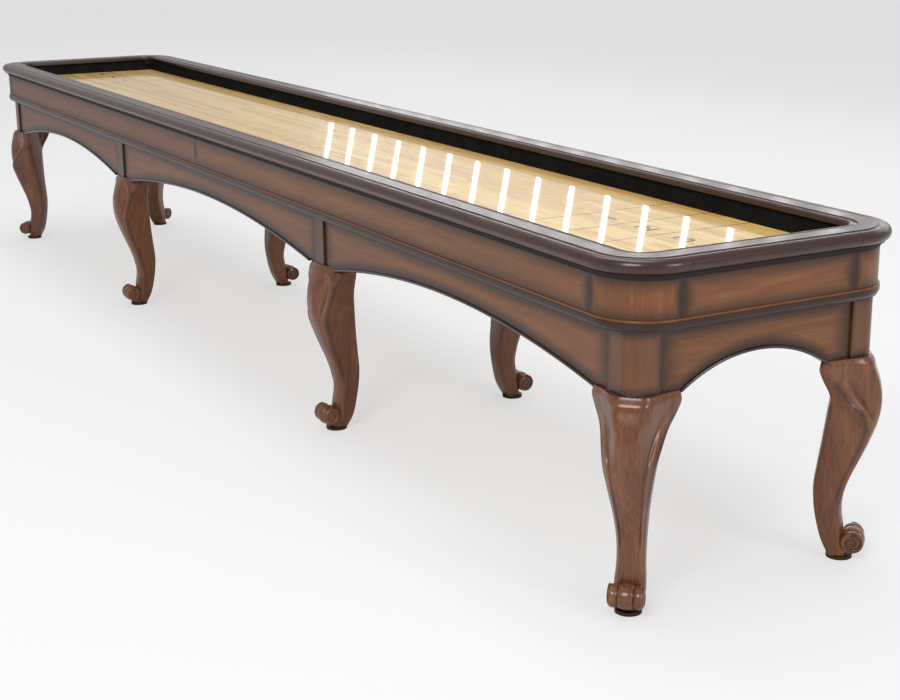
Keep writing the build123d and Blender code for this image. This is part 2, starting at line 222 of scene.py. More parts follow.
def stained_wood(name, along, dark, middle, light, burnish=None, roughness=0.4, coat=0.25,
                 pore_and_shade_tone=(0.012, 0.0045, 0.0022)):
    """Stained and lacquered wood; `burnish` takes the three coordinates and returns 1 where the edge is dark."""
    shade = Shade(name, Coat_Weight=coat, Coat_Roughness=0.16, Specular_IOR_Level=0.35)
    coords, axes = shade.place()
    fine = shade.noise(shade.stretched(coords, GRAIN[along]), 4.0, 6.0, 0.6)
    broad = shade.noise(shade.stretched(coords, STREAK[along]), 2.2, 3.0, 1.5)
    cloud = shade.noise(coords, 6.0, 2.0)
    tone = fine * 0.45 + broad * 0.45 + cloud * 0.1
    color = shade.ramp(tone, ((0.30, dark), (0.5, middle), (0.70, light)))
    pores = shade.noise(shade.stretched(coords, [v * 4 for v in GRAIN[along]]), 5.0, 2.0)
    # the pores darken towards the same dark tone, which is the wood's own grain
    color = shade.blend(pores.step(0.62, 0.75) * 0.22, color, pore_and_shade_tone)
    if burnish:
        # painted shade and dark joints: the wood blended towards the dark tone where the mask says
        color = shade.blend(burnish(*axes), color, pore_and_shade_tone)
    rough = fine * 0.12 + (roughness - 0.06)
    return shade.wear(color, rough, pores, 0.12, 0.0004)


CASE = ((0.120, 0.040, 0.012), (0.185, 0.066, 0.020), (0.250, 0.096, 0.031))
LEG = ((0.095, 0.028, 0.009), (0.150, 0.047, 0.015), (0.215, 0.076, 0.026))
RAIL = ((0.026, 0.0085, 0.005), (0.040, 0.014, 0.008), (0.062, 0.023, 0.013))
POST = ((0.085, 0.028, 0.009), (0.140, 0.048, 0.015), (0.190, 0.070, 0.023))


def case_tones():
    return CASE[0], tuple(settings().case_tone), CASE[2]


def leg_tones():
    return LEG[0], tuple(settings().leg_tone), LEG[2]


def rail_tones():
    return RAIL[0], tuple(settings().rail_tone), RAIL[2]


def settings():
    return bpy.context.scene.table_look


def band_edges(z, low, high, reach):
    """Dark towards both edges of a board that runs from `low` to `high`."""
    return (1 - (z - low).step(0.0, reach)).most(1 - (high - z).step(0.0, reach))


def case_side_wood(name, along):
    """Box side: dark along the top and bottom edges and either side of each joint."""
    corner = SIDE_HIGH[0]

    def burnish(x, y, z):
        # painted shade under the rail towards the top edge, and darker towards the bottom edge
        edge = band_edges(z, BOX_Z + 0.012, SIDE_HIGH[2], 0.052) * 0.96
        if along == "y":
            return edge.most(abs(y).step(END_HIGH[1] - 0.045, END_HIGH[1]) * 0.9)
        ends = (1 - abs(x).step(0.001, 0.030)).most(abs(x).step(corner - 0.045, corner - 0.001))
        seam = (1 - abs(x).step(0.0007, 0.0012)).most(abs(abs(x) - corner).step(0.0016, 0.0006))
        return edge.most(ends * 0.9).most(seam)
    return stained_wood(name, along, *case_tones(), burnish=burnish)


def corner_wood(name, low, high, reach=0.052):
    """Rounded box corner: upright grain, dark at its edges and at its joints with the sides and ends."""
    def burnish(x, y, z):
        joint = (1 - abs(abs(x) - SIDE_HIGH[0]).step(0.001, 0.030)).most(
            1 - abs(abs(y) - END_HIGH[1]).step(0.001, 0.030))
        # painted shade under the rail towards the top edge; darker towards the bottom edge and at the joints
        return (band_edges(z, low, high, reach) * 0.96).most(joint * 0.95)
    return stained_wood(name, "z", *case_tones(), burnish=burnish)


def post_wood(name):
    """Post: upright grain, darker at its two ends and at its corners."""
    def burnish(x, y, z):
        across = abs(abs(y) - LEG_Y).step(POST_HALF - 0.014, POST_HALF - 0.002)
        along = abs(abs(x) - LEG_X).step(POST_HALF - 0.014, POST_HALF - 0.002)
        # painted shade under the box at the top end; darker at the bottom end and at the corners
        return (band_edges(z, KNEE_Z, BOX_Z, 0.030) * 0.85).most(across * along * 0.5)
    return stained_wood(name, "z", *POST, burnish=burnish, roughness=0.34, coat=0.35)


def apron_wood(name, start, end, along):
    """Apron: dark under the box, beside the posts and along the arch."""
    first = start + KNEE_REACH
    last = end - KNEE_REACH
    middle = (first + last) / 2
    half = (last - first) / 2

    def burnish(x, y, z):
        run = (x if along == "x" else y) - middle
        share = run / half
        arch = (1 - share * share).most(0.0) * ARCH_RISE + KNEE_Z
        # darker along the arch
        low = 1 - (z - arch).step(0.001, 0.036)
        # painted shade under the overhang of the box
        high = (z - BOX_Z).step(-0.045, -0.002)
        # painted shade beside the posts, which stand proud of the apron
        sides = abs(run).step(half + KNEE_REACH - 0.070, half + KNEE_REACH - 0.004)
        return (low * 0.9).most(high * 0.92).most(sides * 0.8)
    return stained_wood(name, along, *case_tones(), burnish=burnish)


def maple_strips(name):
    """Laminated maple with strips across the board, under a thick clear coat."""
    shade = Shade(name, Coat_Weight=0.75, Coat_Roughness=0.03, Roughness=0.45, Specular_IOR_Level=0.2)
    coords, (x, y, _) = shade.place()
    strip = (y * 42.0 + 0.5).maths("FLOOR", y * 42.0 + 0.5)
    length = (x * 1.15 + strip * 0.37).maths("FLOOR", x * 1.15 + strip * 0.37)
    cell = shade.node("ShaderNodeCombineXYZ", {}, {0: length, 1: strip, 2: 3.0})
    tint = shade.node("ShaderNodeTexWhiteNoise", {"noise_dimensions": "3D"}, {"Vector": cell}, "Value")
    grain = shade.noise(shade.stretched(coords, (1.4, 60, 60)), 5.0, 5.0, 0.8)
    tone = tint * 0.55 + grain * 0.45
    stops = ((0.2, (0.60, 0.33, 0.070)), (0.45, tuple(settings().maple_tone)),
             (0.7, (0.82, 0.56, 0.165)), (0.9, (0.88, 0.65, 0.23)))
    color = shade.ramp(tone, stops)
    fleck = shade.noise(shade.stretched(coords, (9, 240, 240)), 3.0, 2.0)
    color = shade.blend(fleck.step(0.64, 0.76) * 0.35, color, (0.36, 0.17, 0.05))
    return shade.wear(color, grain * 0.08 + 0.24)


def black_carpet(name):
    shade = Shade(name, Roughness=0.95, Specular_IOR_Level=0.15)
    coords = shade.place()[0]
    pile = shade.noise(coords, 900.0, 2.0)
    patch = shade.noise(coords, 14.0, 3.0)
    color = shade.ramp(pile * 0.7 + patch * 0.3, ((0.35, (0.006, 0.0055, 0.005)), (0.65, (0.026, 0.024, 0.021))))
    return shade.wear(color, None, pile, 0.9, 0.0015)


def carved_wood(name):
    """Leg wood: darker glaze in the hollows of the carving, rubbed lighter on the beads."""
    shade = Shade(name, Coat_Weight=0.45, Coat_Roughness=0.12, Specular_IOR_Level=0.4)
    coords = shade.place()[0]
    grain = shade.noise(shade.stretched(coords, (40, 40, 4)), 4.0, 6.0, 0.8)
    broad = shade.noise(shade.stretched(coords, (9, 9, 2)), 2.0, 3.0, 1.0)
    dark, middle, light = leg_tones()
    color = shade.ramp(grain * 0.5 + broad * 0.5, ((0.36, dark), (0.5, middle), (0.64, light)))
    relief_shading = shade.node("ShaderNodeAttribute", {"attribute_name": "relief_shading"}, {}, "Fac")
    # painted shade: near-black where the relief shading value is low
    color = shade.blend((0.5 - relief_shading).step(0.0, 0.5), color, (0.012, 0.004, 0.002))
    # painted highlight where the relief shading value is high
    color = shade.blend((relief_shading - 0.5).step(0.0, 0.5) * 0.5, color, (0.26, 0.10, 0.045))
    return shade.wear(color, grain * 0.1 + 0.26, grain, 0.06, 0.0005)


def dark_gloss(name, color, rough=0.22, coat=0.5):
    shade = Shade(name, Coat_Weight=coat, Coat_Roughness=0.12)
    coords = shade.place()[0]
    mottled = shade.noise(coords, 30.0, 3.0)
    lighter = tuple(c * 1.9 for c in color)
    return shade.wear(shade.ramp(mottled, ((0.35, color), (0.7, lighter))), mottled * 0.08 + rough)


def metal(name, color, rough=0.35):
    shade = Shade(name, Metallic=1.0)
    coords = shade.place()[0]
    brushed = shade.noise(shade.stretched(coords, (400, 400, 60)), 3.0, 2.0)
    tone = shade.ramp(brushed, ((0.3, tuple(c * 0.8 for c in color)), (0.7, color)))
    return shade.wear(tone, brushed * 0.15 + rough, brushed, 0.1, 0.0002)


def ink(name):
    shade = Shade(name, Coat_Weight=1.0, Coat_Roughness=0.03)
    coords = shade.place()[0]
    mottled = shade.noise(coords, 260.0, 3.0)
    tone = shade.ramp(mottled, ((0.3, (0.020, 0.012, 0.008)), (0.75, (0.060, 0.030, 0.018))))
    return shade.wear(tone, mottled * 0.06 + 0.3)


# ---- mesh helpers ---------------------------------------------------------------------------
def mesh_object(name, points, faces, materials, smooth=True):
    """A new piece from points and faces, merged and with its faces turned outwards."""
    mesh = bpy.data.meshes.new(name)
    mesh.from_pydata([tuple(p) for p in points], [], faces)
    work = bmesh.new()
    work.from_mesh(mesh)
    bmesh.ops.remove_doubles(work, verts=work.verts, dist=1e-6)
    bmesh.ops.recalc_face_normals(work, faces=work.faces)
    work.to_mesh(mesh)
    work.free()
    for material in materials:
        mesh.materials.append(material)
    if smooth:
        mesh.shade_smooth()
    piece = bpy.data.objects.new(name, mesh)
    bpy.context.scene.collection.objects.link(piece)
    return piece


def sharpen(piece, angle=35):
    """Smooth shading that keeps edges sharper than `angle` degrees."""
    bpy.context.view_layer.objects.active = piece
    piece.select_set(True)
    bpy.ops.object.shade_smooth_by_angle(angle=math.radians(angle))
    piece.select_set(False)


def seat(piece, slot, *nodes, body=TABLE):
    """Ties a piece to its body, its finish slot and the nodes it stands for."""
    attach(piece, body)
    if nodes:
        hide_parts(*nodes)


def tube_faces(rings, around, closed=False):
    """Quads over `rings` rings of `around` points, with end caps unless the tube is closed."""
    faces = []
    for i in range(rings if closed else rings - 1):
        k = (i + 1) % rings
        for j in range(around):
            m = (j + 1) % around
            faces.append((i * around + j, i * around + m, k * around + m, k * around + j))
    if not closed:
        faces.append(tuple(range(around)))
        faces.append(tuple((rings - 1) * around + j for j in reversed(range(around))))
    return faces


def sweep(profile, path):
    """Points of a level profile (out, up) carried along path stations (x, y, nx, ny)."""
    return [(x + nx * out, y + ny * out, up) for x, y, nx, ny in path for out, up in profile]


def arc(centre, radius, start, end, count):
    """Points on an arc, angles in degrees."""
    turns = [math.radians(start + (end - start) * i / (count - 1)) for i in range(count)]
    return [(centre[0] + radius * math.cos(t), centre[1] + radius * math.sin(t)) for t in turns]


def smooth_curve(knots, at):
    """Value at `at` of a smooth curve through (position, value) knots."""
    xs = np.array([k[0] for k in knots])
    ys = np.array([k[1] for k in knots])
    slopes = np.gradient(ys, xs)
    i = int(np.clip(np.searchsorted(xs, at) - 1, 0, len(xs) - 2))
    span = xs[i + 1] - xs[i]
    t = min(max((at - xs[i]) / span, 0.0), 1.0)
    a = 2 * t ** 3 - 3 * t ** 2 + 1
    b = t ** 3 - 2 * t ** 2 + t
    return float(a * ys[i] + b * span * slopes[i] + (1 - a) * ys[i + 1] + (t ** 3 - t ** 2) * span * slopes[i + 1])


# ---- top rail ---------------------------------------------------------------------------------
def rail_profile(width, depth, lip, seat_in):
    """Closed section, out from the inner edge and up from the floor: bead, groove, flat top and bullnose."""
    bead = lip * 0.5
    nose = depth / 2
    points = arc((bead, TOP_Z - bead - 0.0005), bead, 180, 60, 9)
    points += [(bead * 2.05, TOP_Z - 0.0030), (bead * 2.35, TOP_Z - 0.0030), (bead * 2.6, TOP_Z)]
    points += [(width - nose * 1.9, TOP_Z), (width - nose * 1.8, TOP_Z - 0.0022),
               (width - nose * 1.65, TOP_Z - 0.0022)]
    points += arc((width - nose, TOP_Z - nose), nose, 115, -90, 15)
    points += [(width - seat_in, TOP_Z - depth), (width - seat_in, TOP_Z - lip), (0.0005, TOP_Z - lip)]
    return points


def corner_path(at_x, at_y, radius, reach_x, reach_y, x_sign, y_sign, count=14):
    """Stations round one corner of the table, from the end side to the long side."""
    path = [(x_sign * at_x, y_sign * reach_y, x_sign, 0)]
    for i in range(count):
        turn = math.radians(90 * i / (count - 1))
        nx, ny = math.cos(turn), math.sin(turn)
        path.append((x_sign * (at_x - radius + radius * nx), y_sign * (at_y - radius + radius * ny),
                     x_sign * nx, y_sign * ny))
    path.append((x_sign * reach_x, y_sign * at_y, 0, y_sign))
    return path


def rail_pieces():
    """The four straight lengths of the rail and its four bent corners."""
    width = RAIL_LONG_HIGH[1] - RAIL_LONG_LOW[1]
    depth = RAIL_HIGH[2] - BOX_HIGH[2]
    profile = rail_profile(width, depth, RAIL_LIP, RAIL_SEAT)
    inner_x, inner_y = RAIL_HIGH[0] - width, RAIL_HIGH[1] - width
    end_x, end_y = RAIL_LONG_HIGH[0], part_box("rail_near")[1][1]
    gap = 0.0004    # half the hairline at each joint of the rail
    along_x = stained_wood("rail_wood_long", "x", *rail_tones(), roughness=0.34, coat=0.45)
    along_y = stained_wood("rail_wood_end", "y", *rail_tones(), roughness=0.34, coat=0.45)
    for name, sign in (("rail_front", -1), ("rail_back", 1)):
        path = [(x, sign * inner_y, 0, sign) for x in np.linspace(-end_x + gap, end_x - gap, 12)]
        piece = mesh_object(f"{name}_moulded", sweep(profile, path), tube_faces(12, len(profile)), [along_x])
        sharpen(piece)
        seat(piece, "rail_wood", name)
    for name, sign in (("rail_near", 1), ("rail_far", -1)):
        path = [(sign * inner_x, y, sign, 0) for y in (-end_y + gap, end_y - gap)]
        piece = mesh_object(f"{name}_moulded", sweep(profile, path), tube_faces(2, len(profile)), [along_y])
        sharpen(piece)
        seat(piece, "rail_wood", name)
    bend = BOX_ROUND + (RAIL_HIGH[0] - BOX_HIGH[0]) - width
    for number, (x_sign, y_sign) in enumerate(((1, -1), (1, 1), (-1, -1), (-1, 1)), 1):
        path = corner_path(inner_x, inner_y, bend, end_x + gap, end_y + gap, x_sign, y_sign)
        faces = tube_faces(len(path), len(profile))
        piece = mesh_object(f"rail_corner_{number}", sweep(profile, path), faces, [along_y])
        sharpen(piece)
        seat(piece, "rail_wood", *(["rail_corners"] if number == 1 else []))


def ring_path(at_x, at_y, radius):
    """Closed loop of stations round the whole table."""
    loop = []
    for x_sign, y_sign, turn in ((1, 1, False), (-1, 1, True), (-1, -1, False), (1, -1, True)):
        corner = corner_path(at_x, at_y, radius, 0, 0, x_sign, y_sign)[1:-1]
        loop += corner[::-1] if turn else corner
    return loop


def box_trim():
    """Dark cove under the rail, and the band with a scribed line at the foot of the box."""
    # the cove's near-black matte colour is painted shade under the rail
    dark = dark_gloss("cove_painted_shade", (0.006, 0.0025, 0.0015), 0.7, 0.0)
    face_x, face_y = BOX_HIGH[0], BOX_HIGH[1]
    top = BOX_HIGH[2]
    loop = ring_path(face_x, face_y, BOX_ROUND)
    cove = [(-0.001, top), (COVE_REACH, top), (0.0125, top - 0.002)]
    cove += arc((0.0125, top - 0.0125), 0.0105, 90, 180, 7)
    cove += [(0.0, top - 0.0145), (-0.001, top - 0.0145)]
    piece = mesh_object("rail_cove", sweep(cove, loop), tube_faces(len(loop), len(cove), True), [dark])
    sharpen(piece)
    seat(piece, "rail_wood")
    low, high = MOULD_LOW[2], MOULD_HIGH[2]
    band = [(-0.001, low)] + arc((-0.0075, low + 0.0125), 0.0125, -52, 0, 8)
    band += [(0.0046, high - 0.0060), (0.0030, high - 0.0050), (0.0030, high - 0.0042)]
    band += arc((0.0026, high - 0.0022), 0.0018, -60, 90, 7) + [(-0.001, high)]

    def burnish(x, y, z):
        # the band darker below the scribed line
        return (1 - (z - (high - 0.0060)).step(0.0, 0.0012)) * 0.93
    moulding = stained_wood("moulding_wood", "x", *case_tones(), burnish=burnish, roughness=0.34)
    piece = mesh_object("base_moulding", sweep(band, loop), tube_faces(len(loop), len(band), True), [moulding])
    sharpen(piece)
    seat(piece, "case_wood", "base_mouldings")


# ---- cock beads along the arches --------------------------------------------------------------
def arch_points(start, end, steps):
    """Stations (run, height, slope angle) along the lower edge of an apron."""
    first, last = start + KNEE_REACH, end - KNEE_REACH
    half = (last - first) / 2
    radius = (half ** 2 + ARCH_RISE ** 2) / (2 * ARCH_RISE)
    reach = math.asin(half / radius)
    turns = np.linspace(-reach, reach, steps)
    middle = (first + last) / 2
    return [(middle + radius * math.sin(t), KNEE_Z + ARCH_RISE - radius * (1 - math.cos(t)), -t) for t in turns]


def arch_bead(name, start, end, face, sign, along, material):
    """A round bead under an arched apron, facing out from the table."""
    steps = 48
    size = settings().bead_size
    root = BEAD_PROUD - BEAD_DEPTH
    section = [(root, 0.0), (0.001, 0.0)] + arc((0.0, -size / 2), size / 2, 85, -85, 11)
    section += [(0.001, -size), (root, -size)]
    points = []
    for run, height, slope in arch_points(start, end, steps):
        for out, up in section:
            r = run - up * math.sin(slope)
            z = height + up * math.cos(slope)
            points.append((r, sign * (face + out), z) if along == "x" else (sign * (face + out), r, z))
    piece = mesh_object(name, points, tube_faces(steps, len(section)), [material])
    sharpen(piece, 50)
    return piece


def cock_beads():
    """One bead under each of the eight arches."""
    gloss = dark_gloss("bead_stain", (0.012, 0.005, 0.003), 0.15)
    first = True
    for sign, side in ((-1, "front"), (1, "back")):
        for number, (start, end) in enumerate(BAYS, 1):
            piece = arch_bead(f"arch_bead_{side}_{number}", start, end, APRON_FACE_Y, sign, "x", gloss)
            seat(piece, "bead_wood", *(["cock_beads"] if first else []))
            first = False
    for sign, side in ((1, "near"), (-1, "far")):
        span = LEG_Y - POST_HALF
        piece = arch_bead(f"arch_bead_{side}", -span, span, APRON_FACE_X, sign, "y", gloss)
        seat(piece, "bead_wood")


# ---- cabriole legs ----------------------------------------------------------------------------
OUTER = ((0.009, 0.018), (0.020, 0.016), (0.050, 0.010), (0.085, 0.006), (0.120, 0.001), (0.160, 0.003), (0.205, 0.016),
         (0.255, 0.037), (0.305, 0.057), (0.348, 0.071), (0.390, 0.077), (0.430, 0.074), (0.470, 0.062), (0.510, 0.043))
INNER = ((0.009, -0.026), (0.050, -0.046), (0.090, -0.058), (0.140, -0.067), (0.185, -0.069), (0.230, -0.064),
         (0.290, -0.056), (0.350, -0.049), (0.420, -0.041), (0.510, -0.038))
HALF = ((0.009, 0.027), (0.030, 0.034), (0.060, 0.035), (0.100, 0.032), (0.157, 0.032), (0.203, 0.035), (0.249, 0.040),
        (0.295, 0.047), (0.341, 0.055), (0.387, 0.065), (0.433, 0.077), (0.463, 0.090), (0.490, 0.098), (0.510, 0.094))


def ease(value, low, high):
    """0 below `low`, 1 above `high`, smooth between."""
    t = min(max((value - low) / (high - low), 0.0), 1.0)
    return t * t * (3 - 2 * t)


def leg_section(z, cornered):
    """Ring of (out, across, carve): a crowned front with two fine ridges, widening into wings below the aprons."""
    front, back, half = (smooth_curve(k, z) for k in (OUTER, INNER, HALF))
    wing = ease(z, 0.33, 0.45)
    ridge_on = ease(z, 0.125, 0.165) * (1 - ease(z, 0.450, 0.472))
    rim = 0.0035 * math.exp(-((z - 0.494) / 0.010) ** 2)

    def wing_face(across):
        reach = APRON_FACE_X - LEG_X + WING_PROUD
        return reach * math.sqrt(2) - abs(across) if cornered else reach

    ring = []
    for u in np.linspace(-1, 1, 45):
        a = abs(u)
        body = front - half * 0.33 * a ** 2.4
        spread = min(body, wing_face(u * half))
        out = body + (spread - body) * wing * ease(a, 0.25, 0.80) + rim
        ridge = math.exp(-((a - 0.80) / 0.050) ** 2)
        hollow = math.exp(-((a - 0.69) / 0.055) ** 2)
        out += (0.0040 * ridge - 0.0016 * hollow) * ridge_on - 0.005 * ease(a, 0.86, 1.0)
        # painted shading value: lighter on the ridges, darker in the hollows and towards the sides
        relief_shading = 0.5 + (0.45 * ridge - 0.28 * hollow - 0.30 * ease(a, 0.86, 0.95)) * ridge_on
        ring.append((out, u * half, relief_shading))
    edge = ring[-1][0]
    rear = min(back, wing_face(half) - WING_THICK) if cornered else back
    side_back = back + (rear - back) * wing
    # the sides and the back get darker painted shading values
    for v in np.linspace(0.10, 0.92, 8):
        ring.append((edge + (side_back - edge) * v, half * (1 - 0.10 * v ** 3), 0.42))
    for w in np.linspace(0.86, -0.86, 13):
        deep = min(back, wing_face(w * half) - WING_THICK) if cornered else back
        ring.append((back + (deep - back) * wing + 0.004 * abs(w) ** 3, half * w, 0.40))
    for v in np.linspace(0.92, 0.10, 8):
        ring.append((edge + (side_back - edge) * v, -half * (1 - 0.10 * v ** 3), 0.42))
    return ring


SCROLL_OUT, SCROLL_UP, SCROLL_RADIUS, SCROLL_HALF = 0.030, 0.048, 0.029, 0.038


def scroll_shell():
    """The rolled foot: a round tongue between two side rolls, and its flat cheeks."""
    rows = []
    for t in np.linspace(-1, 1, 49):
        a = abs(t)
        if a < 0.44:
            share, tone = 0.84 + 0.16 * math.sqrt(1 - (a / 0.44) ** 2), 0.66
        else:
            share, tone = 0.80 + 0.13 * math.sqrt(max(0.0, 1 - ((a - 0.76) / 0.24) ** 2)), 0.60
        # painted shading: the tongue and the rolls lighter, the groove between them near-black
        rows.append((t * SCROLL_HALF, SCROLL_RADIUS * share, 0.1 if abs(a - 0.47) < 0.05 else tone))
    points, relief_shading = [], []
    around = 40
    for across, radius, tone in rows:
        for i in range(around):
            turn = 2 * math.pi * i / around
            points.append((SCROLL_OUT + radius * math.cos(turn), across, SCROLL_UP + radius * math.sin(turn)))
            relief_shading.append(tone)
    return points, tube_faces(len(rows), around), relief_shading


def scroll_spiral(side):
    """A raised spiral on one cheek of the foot, tapering in to its eye."""
    steps, around = 72, 8
    points, relief_shading = [], []
    for i in range(steps):
        share = i / (steps - 1)
        turn = math.radians(100 - 560 * share)
        reach = SCROLL_RADIUS * 0.80 * (1 - share) ** 0.9 + 0.0035 * share
        thick = 0.0042 * (1 - 0.45 * share)
        centre = Vector((SCROLL_OUT + reach * math.cos(turn), side * SCROLL_HALF, SCROLL_UP + reach * math.sin(turn)))
        outward = Vector((math.cos(turn), 0, math.sin(turn)))
        for j in range(around):
            spin = 2 * math.pi * j / around
            sideways = Vector((0, side * thick * 0.8 * math.sin(spin), 0))
            points.append(centre + outward * (thick * math.cos(spin)) + sideways)
            # painted highlight on the raised side of the spiral, painted shade on the rest of it
            relief_shading.append(0.85 if side * math.sin(spin) > 0.3 else 0.2)
    return points, tube_faces(steps, around), relief_shading


def leg_mesh(cornered):
    """Points, faces and carving tone of one leg in its own frame: out, across, up."""
    levels = np.concatenate([np.linspace(PAD_TOP, 0.10, 30)[:-1], np.linspace(0.10, KNEE_Z, 130)])
    rings = [leg_section(z, cornered) for z in levels]
    around = len(rings[0])
    points = [(out, across, z) for ring, z in zip(rings, levels) for out, across, tone in ring]
    relief_shading = [tone for ring in rings for out, across, tone in ring]
    faces = tube_faces(len(levels), around)
    for extra in (scroll_shell(), scroll_spiral(1), scroll_spiral(-1)):
        base = len(points)
        points += [tuple(p) for p in extra[0]]
        faces += [tuple(base + i for i in f) for f in extra[1]]
        relief_shading += extra[2]
    return points, faces, relief_shading


def legs():
    """Eight legs, each turned to face out of the table; their shield tops stand for the knee blocks too."""
    wood = carved_wood("leg_wood_carved")
    shapes = {cornered: leg_mesh(cornered) for cornered in (True, False)}
    for number, x, y, turn in LEGS:
        points, faces, relief_shading = shapes[abs(x) == LEG_X]
        spin = Matrix.Translation((x, y, 0)) @ Matrix.Rotation(math.radians(turn), 4, "Z")
        mesh = bpy.data.meshes.new(f"cabriole_leg_{number}")
        mesh.from_pydata([spin @ Vector(p) for p in points], [], faces)
        tone = mesh.attributes.new("relief_shading", "FLOAT", "POINT")
        tone.data.foreach_set("value", relief_shading)
        work = bmesh.new()
        work.from_mesh(mesh)
        bmesh.ops.recalc_face_normals(work, faces=work.faces)
        work.to_mesh(mesh)
        work.free()
        mesh.materials.append(wood)
        piece = bpy.data.objects.new(f"cabriole_leg_{number}", mesh)
        bpy.context.scene.collection.objects.link(piece)
        sharpen(piece, 50)
        seat(piece, "leg_wood", f"leg_{number}", *(["knee_blocks"] if number == 1 else []))


# ---- playfield marks --------------------------------------------------------------------------
def score_line_tree(material):
    """Geometry nodes: thin bars across the board, repeated at a fixed step."""
    tree = bpy.data.node_groups.new("score_line_row", "GeometryNodeTree")
    sizes = (("Step", SCORE_STEP), ("Board Width", 0.5), ("Line Width", settings().line_width), ("Ink Height", 0.0003))
    for name, default in sizes:
        socket = tree.interface.new_socket(name, in_out="INPUT", socket_type="NodeSocketFloat")
        socket.default_value = default
    tree.interface.new_socket("Geometry", in_out="OUTPUT", socket_type="NodeSocketGeometry")
    inputs = tree.nodes.new("NodeGroupInput")
    output = tree.nodes.new("NodeGroupOutput")
    step = tree.nodes.new("ShaderNodeCombineXYZ")
    size = tree.nodes.new("ShaderNodeCombineXYZ")
    line = tree.nodes.new("GeometryNodeMeshLine")
    bar = tree.nodes.new("GeometryNodeMeshCube")
    copies = tree.nodes.new("GeometryNodeInstanceOnPoints")
    real = tree.nodes.new("GeometryNodeRealizeInstances")
    finish = tree.nodes.new("GeometryNodeSetMaterial")
    line.inputs["Count"].default_value = 3
    finish.inputs["Material"].default_value = material
    join = tree.links.new
    join(inputs.outputs["Step"], step.inputs[0])
    join(step.outputs[0], line.inputs["Offset"])
    join(inputs.outputs["Line Width"], size.inputs[0])
    join(inputs.outputs["Board Width"], size.inputs[1])
    join(inputs.outputs["Ink Height"], size.inputs[2])
    join(size.outputs[0], bar.inputs["Size"])
    join(line.outputs[0], copies.inputs["Points"])
    join(bar.outputs[0], copies.inputs["Instance"])
    join(copies.outputs[0], real.inputs[0])
    join(real.outputs[0], finish.inputs[0])
    join(finish.outputs[0], output.inputs[0])
    return tree


def plain_mesh(source, name):
    """A plain mesh object from an evaluated one, with the maker object removed."""
    graph = bpy.context.evaluated_depsgraph_get()
    mesh = bpy.data.meshes.new_from_object(source.evaluated_get(graph))
    piece = bpy.data.objects.new(name, mesh)
    bpy.context.scene.collection.objects.link(piece)
    bpy.data.objects.remove(source)
    return piece


def play_marks():
    """Score lines and the numbers 1, 2 and 3 at both ends of the board."""
    black = ink("score_ink")
    board_end = COAT_HIGH[0]
    tree = score_line_tree(black)
    for name, sign in (("near", 1), ("far", -1)):
        holder = bpy.data.objects.new("line_maker", bpy.data.meshes.new("line_maker"))
        bpy.context.scene.collection.objects.link(holder)
        maker = holder.modifiers.new("lines", "NODES")
        maker.node_group = tree
        sockets = {item.name: item.identifier for item in tree.interface.items_tree if item.in_out == "INPUT"}
        maker[sockets["Step"]] = -sign * SCORE_STEP
        maker[sockets["Board Width"]] = COAT_HIGH[1] * 2 - 0.004
        piece = plain_mesh(holder, f"score_lines_{name}")
        piece.data.transform(Matrix.Translation((sign * (board_end - SCORE_STEP), 0, PLAY_Z + MARK_LIFT)))
        seat(piece, "bead_wood")
        for digit in (1, 2, 3):
            text = bpy.data.curves.new(f"digit_{digit}", "FONT")
            text.body = str(digit)
            text.size = settings().digit_height
            text.align_x = "CENTER"
            text.align_y = "CENTER"
            text.extrude = 0.0002
            text.offset = 0.0012
            source = bpy.data.objects.new("digit_maker", text)
            bpy.context.scene.collection.objects.link(source)
            number = plain_mesh(source, f"score_{digit}_{name}")
            place = sign * (board_end - SCORE_STEP * (3.5 - digit))
            turn = Matrix.Rotation(math.radians(90 * sign), 4, "Z")
            number.data.transform(Matrix.Translation((place, 0, PLAY_Z + 2 * MARK_LIFT)) @ turn)
            number.data.materials.clear()
            number.data.materials.append(black)
            seat(number, "bead_wood")


# ---- finishes of the carried-over nodes ---------------------------------------------------------
def paint(node, material):
    """Puts one material on every slot of a carried-over node."""
    target = frame["nodes"][node]
    if not target.material_slots:
        target.data.materials.append(material)
    for slot in target.material_slots:
        slot.material = material


def node_finishes():
    """Finishes by material slot, then the boards whose dark edges need their own."""
    side = case_side_wood("case_side_wood", "x")
    end = case_side_wood("case_end_wood", "y")
    post = post_wood("post_wood")
    carpet = black_carpet("gutter_carpet")
    maple = maple_strips("maple_playfield")
    steel = metal("zinc_steel", (0.55, 0.55, 0.54))
    bronze = metal("pad_bronze", (0.09, 0.055, 0.035), 0.4)
    timber = stained_wood("plain_timber", "x", (0.28, 0.17, 0.08), (0.40, 0.26, 0.13), (0.52, 0.36, 0.2),
                          roughness=0.6, coat=0.0, pore_and_shade_tone=(0.18, 0.1, 0.05))
    finishes = {"case_wood": side, "black_carpet": carpet, "maple_board": maple, "clear_coat": maple,
                "zinc_steel": steel, "pad_steel": bronze, "plain_timber": timber, "rail_wood": side,
                "leg_wood": side, "bead_wood": side}
    slots = {entry["node"]: entry["material_slot"] for entry in frame["record"]["subparts"]}
    for node in frame["nodes"]:
        paint(node, finishes[slots[node]])
    for node in ("box_end_near", "box_end_far"):
        paint(node, end)
    paint("box_corners", corner_wood("case_corner_wood", BOX_Z + 0.012, BOX_HIGH[2]))
    for number in (1, 2, 3, 4):
        paint(f"corner_post_{number}", post)
    paint("side_posts", post)
    for number, (start, finish) in enumerate(BAYS, 1):
        wood = apron_wood(f"apron_wood_{number}", start, finish, "x")
        for side_name in ("front", "back"):
            paint(f"apron_{side_name}_{number}", wood)
    span = LEG_Y - POST_HALF
    wood = apron_wood("apron_end_wood", -span, span, "y")
    for end_name in ("near", "far"):
        paint(f"apron_{end_name}", wood)


